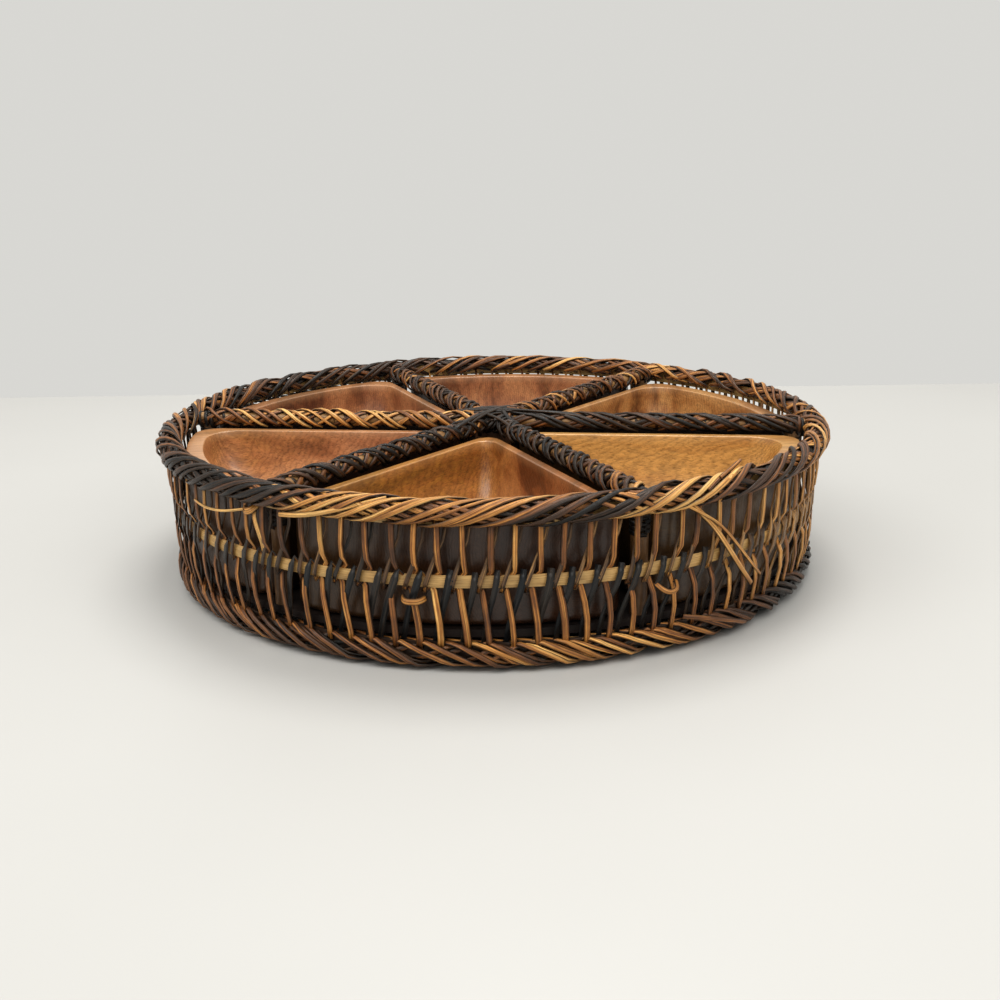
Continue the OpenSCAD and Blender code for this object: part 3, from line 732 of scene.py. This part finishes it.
def knot():
    """Canes that cross over the middle from divider to divider, on top of each other. A route is the
    angles of its two ends (degrees), how far out each end reaches (mm), and its stain."""
    bundle = Bundle()
    s = np.linspace(-1, 1, bundle.rings)
    routes = ((180, 0, 34, 62, 0.04), (180, 0, 26, 70, 0.05), (120, 0, 28, 44, 0.04),
              (120, 300, 30, 34, 0.06), (60, 240, 30, 36, 0.06), (60, 240, 24, 44, 0.05),
              (180, 300, 24, 38, 0.10), (240, 0, 40, 22, 0.05), (240, 60, 34, 20, 0.34),
              (300, 120, 28, 24, 0.3), (180, 60, 26, 24, 0.12), (300, 60, 26, 26, 0.05),
              (240, 120, 34, 24, 0.30), (180, 0, 30, 50, 0.03), (120, 0, 30, 56, 0.05),
              (240, 60, 30, 30, 0.08))
    for k, (a, b, reach_a, reach_b, tone) in enumerate(routes):
        ends = [np.array([cos(radians(t)), sin(radians(t)), 0]) * r * MM
                for t, r in ((a, reach_a), (b, reach_b))]
        sideways = chance.normal(0, 2.2) * MM
        bow = np.cross([0, 0, 1.0], unit(ends[1] - ends[0]))
        level = knot_high.z - CANE_T * (0.6 + 0.5 * (k % 5)) - 0.2 * MM
        share = (s + 1) / 2
        middle = (ends[0] * (1 - share)[:, None] ** 2 + ends[1] * share[:, None] ** 2)
        middle = middle + bow * (sideways * np.cos(s * pi / 2))[:, None]
        middle = middle + bow * (2.5 * MM * np.sin(s * pi / 2) * (1 if k % 2 else -1))[:, None]
        drop = level - 3.4 * MM * s ** 2 - 1.2 * MM * s ** 6
        path = middle * [1, 1, 0] + np.stack([0 * s, 0 * s, drop], -1)
        face = np.tile([0.0, 0, 1], (bundle.rings, 1)) + bow * (0.35 * np.sin(s * 3 + k))[:, None]
        bundle.add(path[None], face[None], 2.9 * MM, CANE_T, varied([tone], 0.03))
    collar, count = 10.5 * MM, 26              # canes wound in a ring under the crossing ones
    wraps(bundle, ring_core(collar, ROD_Z - 0.5 * MM), spread(TURN * collar, count), 9 * MM, (-80, 150),
          4.0 * MM, varied(np.full(count, 0.07), 0.05), width=2.6 * MM)
    bundle.piece("centre_knot_cane", "turntable", CANE, ("centre_knot",))


def lashings():
    """Black cane wound round the top of each post and over the end of its rod."""
    bundle = Bundle()
    on_post, on_rod = 5, 3                     # times the cane goes round each
    for i in range(BAYS):
        angle = i * TURN / BAYS
        wraps(bundle, post_core(angle, POST_R), lash_high.z - (np.arange(on_post) + 0.5) * 2.6 * MM,
              -1.2 * MM, (0, 375), POST_TUBE + 0.45 * CANE_T, varied(np.full(on_post, 0.08), 0.05),
              width=2.7 * MM, thick=CANE_T * 0.8, wander=0.6)
        wraps(bundle, rod_core(angle, ROD_Z - 1.5 * MM), POST_R + (np.arange(on_rod) - 1) * 3.4 * MM,
              3 * MM, (-70, 250), BOUND_TUBE - 0.9 * MM, varied(np.full(on_rod, 0.08), 0.04),
              width=2.8 * MM, wander=0.6)
    bundle.piece("post_lashings_cane", "turntable", CANE, ("post_lashings",))


def loose_ends():
    """Broken and spliced strands: (angle, radius, height) points, width, stain."""
    strays = (
        (((305, 195, 80), (308, 199.5, 70), (311, 199, 58),
          (315, 196.5, 42), (319, 195.5, 27)), 3.0, 0.84),
        (((304, 197, 79), (309, 200.5, 69), (312, 199.5, 60),
          (316.5, 198, 44), (320.5, 197, 31)), 1.7, 0.78),
        (((263.5, 191.5, 38), (264, 196, 37.6), (265.2, 197, 37.5),
          (266.4, 196, 37.6), (267, 191.5, 38)), 3.4, 0.7),
        (((300.8, 191.5, 39), (301.4, 196, 36), (302.6, 197.5, 34.5),
          (303.8, 197, 36), (304.4, 191.5, 39)), 2.8, 0.6),
        (((238.6, 190, 76), (238.9, 194, 70), (240.2, 195, 62),
          (240.4, 193, 54), (239.3, 190, 48)), 3.2, 0.86),
        (((236.5, 190, 74), (237.2, 195, 72.5), (238.2, 196.5, 71.5),
          (239.0, 195, 72.5), (239.3, 191, 75)), 4.2, 0.9),
        (((308, 199, 84), (310.5, 196, 87.2), (313, 193, 88.6),
          (315.5, 189.5, 89), (318, 186, 89.4)), 2.0, 0.55),
        (((311, 196, 88), (313, 193, 88.7), (315, 190.5, 89.2),
          (317, 188, 89.7), (319, 185.5, 90.2)), 1.6, 0.82),
        (((226, 199, 70), (229, 200, 69), (232, 200, 69.2),
          (235, 199.5, 70.5), (238, 197, 73)), 1.6, 0.92),
        (((246, 200.2, 75.5), (250, 200.6, 76.8), (254, 199.6, 80),
          (258, 197.2, 84.3), (262, 193.4, 87.4)), 2.7, 0.86),
        (((305, 195.5, 20), (308, 197.8, 18), (311.5, 198.6, 14.5),
          (315, 198, 10.5), (318, 195.5, 6.5)), 2.5, 0.5))
    bundle = Bundle()
    for points, width, tone in strays:
        turn, away, height = np.array([np.interp(np.linspace(0, 4, bundle.rings), range(5), k)
                                       for k in np.array(points, float).T])
        for _ in range(2):                     # ease the corners between the points
            for line in (turn, away, height):
                line[1:-1] = (line[:-2] + 2 * line[1:-1] + line[2:]) / 4
        turn = np.radians(turn)
        out = np.stack([np.cos(turn), np.sin(turn), 0 * turn], -1)
        path = out * (away * MM)[:, None] + np.stack([0 * turn, 0 * turn, height * MM], -1)
        face = out + np.array([0, 0, 1.0]) * np.clip((height - 80) / 8, 0, 2)[:, None]
        bundle.add(path[None], face[None], width * MM, CANE_T * 0.7, tone, 0.6)
    bundle.piece("loose_cane_ends", "turntable", CANE)


knot()
lashings()
loose_ends()

# -------------------- dishes

DISH_SIDE = BOUND_TUBE + 1.0 * MM              # a dish's side from the middle of the rod beside it
DISH_R = top_high.x - 2 * TOP_TUBE - 1.6 * MM  # its outer end from the middle
DISH_Z, DISH_TOP = dish_low.z, dish_high.z
HALF = radians(30)                             # half a bay


def arc(middle, r, a, b, steps):
    """Points on a circle about a middle, from angle a to b (degrees)."""
    t = np.radians(np.linspace(a, b, steps))
    return np.stack([middle[0] + r * np.cos(t), middle[1] + r * np.sin(t)], -1)


def wedge(side, outer, tip, corner):
    """Outline of a bay's wedge about +X with rounded tip and corners, evenly spaced points."""
    corner = min(corner, (0.47 * outer - side) / 1.47)     # leaves room for both corners
    reach = outer - corner
    turn = HALF - asin((side + corner) / reach)
    middle = np.array([cos(turn), sin(turn)]) * reach
    t = degrees(turn)
    line = np.concatenate([arc(((side + tip) / sin(HALF), 0), tip, 180, 240, 24),
                           arc((middle[0], -middle[1]), corner, -120, -t, 24), arc((0, 0), outer, -t, 0, 40)])
    step = np.concatenate([[0], np.cumsum(np.linalg.norm(np.diff(line, axis=0), axis=1))])
    even = np.linspace(0, step[-1], 45)        # both halves of the outline together have 88 points
    lower = np.stack([np.interp(even, step, line[:, 0]), np.interp(even, step, line[:, 1])], -1)
    return np.concatenate([lower, lower[-2:0:-1] * [1, -1]])


def dish(index, material):
    """Carved dish: rings of one outline, extruded up the outside, over the rim and down the hollow."""
    wall, end_wall, floor = 5.6 * MM, 9.8 * MM, 8 * MM        # thickness at the sides, end and floor
    outer_tip, outer_corner = 7.5 * MM, 12 * MM               # rounding of the outline outside
    inner_tip, inner_corner = 6.5 * MM, 17 * MM               # and at the top of the hollow
    rings = []

    def ring(inset, end_inset, z, tip, corner):
        rings.append((wedge(DISH_SIDE + inset, DISH_R - end_inset, tip, corner), z))

    edge, lip = 5 * MM, 0.8 * MM               # rounding of the bottom edge and of the rim
    for a in np.radians(np.linspace(0, 90, 6)):
        inset = edge * (1 - sin(a))
        ring(inset, inset, DISH_Z + edge * (1 - cos(a)), outer_tip - inset / 2,
             outer_corner - inset / 2)
    for a in np.radians(np.linspace(0, 90, 5)):
        inset = lip * (1 - cos(a))
        ring(inset, inset, DISH_TOP - lip * (1 - sin(a)), outer_tip, outer_corner)
    for share in (0.35, 0.7):
        ring(wall * share, end_wall * share, DISH_TOP, 7 * MM, (12 + 5 * share) * MM)
    for a in np.radians(np.linspace(90, 10, 5)):
        inset = lip * cos(a)
        ring(wall - lip + inset, end_wall - lip + inset, DISH_TOP - lip * (1 - sin(a)), inner_tip,
             inner_corner)
    depth, sweep = DISH_TOP - DISH_Z - floor - lip, 27 * MM   # of the hollow: down, and in to its floor
    for a in np.radians(np.linspace(6, 90, 15)):
        into = sweep * (1 - cos(a)) ** 1.15
        ring(wall + into, end_wall + into * 1.15, DISH_TOP - lip - depth * sin(a),
             inner_tip + into * 0.2, inner_corner + into * 0.4)
    bm = bmesh.new()
    zone = bm.verts.layers.int.new("zone")     # 0 outside, 1 rim, 2 hollow
    rim_from, rim_to = 8, 17                   # rings of the rim, from its outer to its inner edge
    verts = bmesh.ops.create_circle(bm, cap_ends=True, segments=len(rings[0][0]), radius=0.1)["verts"]
    loop = bm.edges[:]
    turn = radians(30 + 60 * index)
    swing = np.array([[cos(turn), sin(turn)], [-sin(turn), cos(turn)]])

    def lay_ring(verts, outline, z):
        for vert, p in zip(verts, outline @ swing):
            vert.co = (p[0], p[1], z)

    def next_ring(zone_of_ring):
        nonlocal loop
        made = bmesh.ops.extrude_edge_only(bm, edges=loop)["geom"]
        fresh = [g for g in made if isinstance(g, bmesh.types.BMVert)]
        loop = [g for g in made if isinstance(g, bmesh.types.BMEdge)]
        for vert in fresh:
            vert[zone] = zone_of_ring
        return fresh

    lay_ring(verts, *rings[0])
    for k, (outline, z) in enumerate(rings[1:], 1):
        lay_ring(next_ring(0 if k < rim_from else 1 if k <= rim_to else 2), outline, z)
    last, last_z = rings[-1]
    middle, dip = last.mean(axis=0), 0.5 * MM
    for share in (0.72, 0.42, 0.15):
        lay_ring(next_ring(2), middle + (last - middle) * share, last_z - dip * (1 - share ** 2))
    bmesh.ops.pointmerge(bm, verts=next_ring(2), merge_co=(*(middle @ swing), last_z - dip))
    bmesh.ops.recalc_face_normals(bm, faces=bm.faces[:])
    mesh = bpy.data.meshes.new(f"dish_{index + 1}_carved")
    bm.to_mesh(mesh)
    bm.free()
    mesh.shade_smooth()
    zones = numbers(mesh.attributes["zone"].data, "value", len(mesh.vertices))
    # outside marks where the dish is painted near black: partly stain, partly painted shade.
    for key, which in (("outside", 0), ("rim", 1)):
        paint(mesh, key, zones == which)
    node = f"dish_{index + 1}"
    finished(mesh, node, material, (node,))


# Each dish: grain direction (degrees), then dark, middle, light and figure colours, seed, how strong the
# dark streaks are, how far the rim is sanded pale, and the way its golden figure, partly painted sheen,
# grows.
WOODS = (
    (100, (0.13, 0.048, 0.016), (0.36, 0.165, 0.055), (0.52, 0.28, 0.105), (0.48, 0.27, 0.10),
     3, 0.8, 0.22, None),
    (100, (0.17, 0.065, 0.028), (0.34, 0.145, 0.066), (0.46, 0.22, 0.10), (0.42, 0.21, 0.09),
     5, 0.0, 0.22, None),
    (95, (0.12, 0.044, 0.021), (0.28, 0.110, 0.048), (0.43, 0.195, 0.088), (0.36, 0.16, 0.065),
     8, 0.0, 0.3, None),
    (20, (0.15, 0.048, 0.022), (0.36, 0.145, 0.068), (0.50, 0.24, 0.122), (0.60, 0.31, 0.11),
     2, 0.0, 0.3, (-1, -0.1, 0.07, 0.15)),
    (70, (0.13, 0.040, 0.013), (0.28, 0.095, 0.030), (0.40, 0.165, 0.060), (0.60, 0.32, 0.060),
     9, 0.0, 0.22, (-1, 0.3, -0.045, 0.02)),
    (10, (0.26, 0.110, 0.028), (0.46, 0.230, 0.066), (0.58, 0.325, 0.105), (0.58, 0.335, 0.115),
     4, 0.0, 0.2, None))
for index, (turn, *look) in enumerate(WOODS):
    dish(index, carved_wood(f"dish_wood_{index + 1}", radians(turn), *look))

# -------------------- finishes of the CAD nodes that stay

def dress(node, material):
    """Gives a carried CAD node its finish."""
    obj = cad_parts[node]
    obj.data.materials.clear()
    obj.data.materials.append(material)


dress("rim_hoop", PALE)
dress("bottom_hoop", flat_band("dark_flat_cane", (0.010, 0.006, 0.004), (0.035, 0.018, 0.010),
                               (0.08, 0.04, 0.02)))
for i in range(BAYS):
    turn = i * TURN / BAYS
    dress(f"divider_rod_{i + 1}",
          round_cane(f"rod_cane_{i + 1}", (0.16, 0.075, 0.025), (0.42, 0.25, 0.10), turn))
    dress(f"wall_post_{i + 1}",
          round_cane(f"post_cane_{i + 1}", (0.04, 0.02, 0.010), (0.22, 0.115, 0.045), turn, True))
dress("centre_post",
      round_cane("centre_post_wood", (0.05, 0.022, 0.010), (0.13, 0.06, 0.028), 0.0, True))
# The floor board's near-black colour is painted shade for the dark space under the dishes.
dress("floor_board", board_wood("board_painted_shade", (0.008, 0.004, 0.003), (0.022, 0.011, 0.007), 0.7))
dress("base_board", board_wood("plain_board", (0.27, 0.15, 0.065), (0.50, 0.32, 0.16), 0.65))
STEEL = plated_steel("plated_steel", (0.62, 0.63, 0.64), 0.38)
for node in ("bearing_lower_plate", "bearing_upper_plate", "bearing_collar"):
    dress(node, STEEL)
for node in ("lower_plate_screws", "upper_plate_screws", "hub_screw"):
    dress(node, plated_steel(node + "_steel", (0.60, 0.58, 0.50), 0.34))
dress("bearing_balls", plated_steel("ball_steel", (0.75, 0.75, 0.76), 0.16))
for node in ("floor_nails", "post_nails", "rod_nails"):
    dress(node, plated_steel(node + "_steel", (0.10, 0.10, 0.11), 0.45))
dress("base_feet", foot_rubber("foot_rubber"))

# -------------------- table, light and camera

CAMERA_SWING = radians(6.7)                    # how far round from straight ahead the camera stands
TABLE_HALF = 1.5                               # half the table's side
TABLE_BEHIND = 0.5                             # how far its far edge lies behind the middle


def table_top():
    """Pale table whose far edge lies not far behind the basket."""
    bm = bmesh.new()
    bmesh.ops.create_grid(bm, x_segments=1, y_segments=1, size=TABLE_HALF)
    bmesh.ops.translate(bm, verts=bm.verts[:], vec=(0, TABLE_BEHIND - TABLE_HALF, 0))
    bmesh.ops.rotate(bm, verts=bm.verts[:], matrix=Matrix.Rotation(CAMERA_SWING, 3, "Z"))
    mesh = bpy.data.meshes.new("table_top")
    bm.to_mesh(mesh)
    bm.free()
    n = Nodes("table_white")
    cloud = n.noise(n.object_place((2.2, 2.2, 2.2)), 1.0, 3, 0.5)
    n.link(n.ramp(cloud, ((0.3, (0.480, 0.479, 0.466)), (0.7, (0.508, 0.507, 0.494)))),
           n.shader.inputs["Base Color"])
    n.set(Roughness=0.5)
    mesh.materials.append(n.material)
    obj = bpy.data.objects.new("table_top", mesh)
    bpy.context.scene.collection.objects.link(obj)


def lamp(name, place, aim, size, power, colour):
    """Round soft light at a place, facing an aim."""
    data = bpy.data.lights.new(name, "AREA")
    data.shape, data.size, data.energy, data.color = "DISK", size, power, colour
    obj = bpy.data.objects.new(name, data)
    bpy.context.scene.collection.objects.link(obj)
    obj.location = place
    obj.rotation_euler = (Vector(aim) - Vector(place)).to_track_quat("-Z", "Y").to_euler()


def camera():
    """Camera a little above the rim, with a slight roll."""
    lift, swing, roll, away = radians(16.48), CAMERA_SWING, radians(0.83), 0.7543
    data = bpy.data.cameras.new("camera")
    data.lens, data.sensor_width = 43.4, 36
    obj = bpy.data.objects.new("camera", data)
    bpy.context.scene.collection.objects.link(obj)
    look = Matrix.Rotation(swing, 4, "Z")
    aim = look @ Vector((3.6 * MM, 0, 30.2 * MM))
    back = look @ Vector((0, -cos(lift), sin(lift)))
    obj.location = aim + back * away
    turn = (-back).to_track_quat("-Z", "Y").to_matrix().to_4x4() @ Matrix.Rotation(-roll, 4, "Z")
    obj.rotation_euler = turn.to_euler()
    bpy.context.scene.camera = obj


def room_light():
    """Even room light, a soft ceiling light and three soft lights in front."""
    world = bpy.data.worlds.new("room")
    world.use_nodes = True
    shade = world.node_tree.nodes["Background"]
    shade.inputs["Color"].default_value = (0.80, 0.793, 0.762, 1)
    shade.inputs["Strength"].default_value = 0.74
    bpy.context.scene.world = world
    lamp("ceiling_light", (0.15, 0.45, 1.7), (0, 0, 0), 0.9, 13, (1.0, 0.97, 0.93))
    lamp("window_left", (-1.2, -0.9, 1.5), (0, 0, 0.05), 1.2, 11, (1.0, 0.98, 0.95))
    lamp("fill_right", (1.2, -1.0, 1.4), (0, 0, 0.05), 1.2, 9, (1.0, 0.98, 0.95))
    lamp("front_light", (-0.1, -0.9, 1.6), (0, 0, 0), 1.2, 9, (1.0, 0.98, 0.95))


table_top()
room_light()
camera()
bpy.context.scene.view_settings.view_transform = "Standard"
bpy.context.scene.view_settings.look = "Medium High Contrast"
